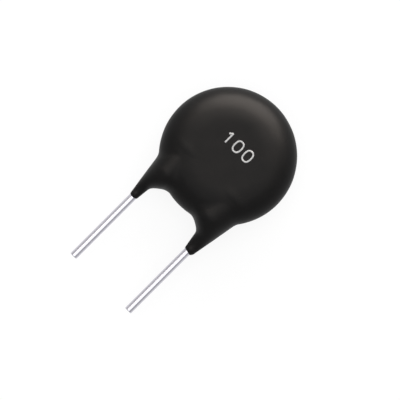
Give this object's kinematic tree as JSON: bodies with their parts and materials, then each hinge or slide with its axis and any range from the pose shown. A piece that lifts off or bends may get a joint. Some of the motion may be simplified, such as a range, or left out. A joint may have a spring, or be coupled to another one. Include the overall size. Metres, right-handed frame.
{
  "type": "disc thermistor",
  "caption": "Round black dipped disc on straight parallel wire leads, whose resistance falls as it warms, for sensing heat or limiting inrush current.",
  "frame": {"origin": "middle of the flat back face of the coated disc, which the part lies on", "axes": "+Z out of the marked front face, -Y along the free ends of the leads, X across the leads"},
  "size_m": [0.0135, 0.0242, 0.0055],
  "materials": {
    "resin_coat": "satin black dipped resin",
    "sintered_ceramic": "fine matte dark grey",
    "silver_film": "matte fired silver",
    "solder": "smooth dull solder",
    "tinned_wire": "bright tinned wire"
  },
  "bodies": {
    "root": {"resin_coating": "resin_coat", "ceramic_disc": "sintered_ceramic", "front_electrode": "silver_film", "back_electrode": "silver_film", "front_solder": "solder", "back_solder": "solder", "front_lead": "tinned_wire", "back_lead": "tinned_wire"}
  },
  "joints": []
}
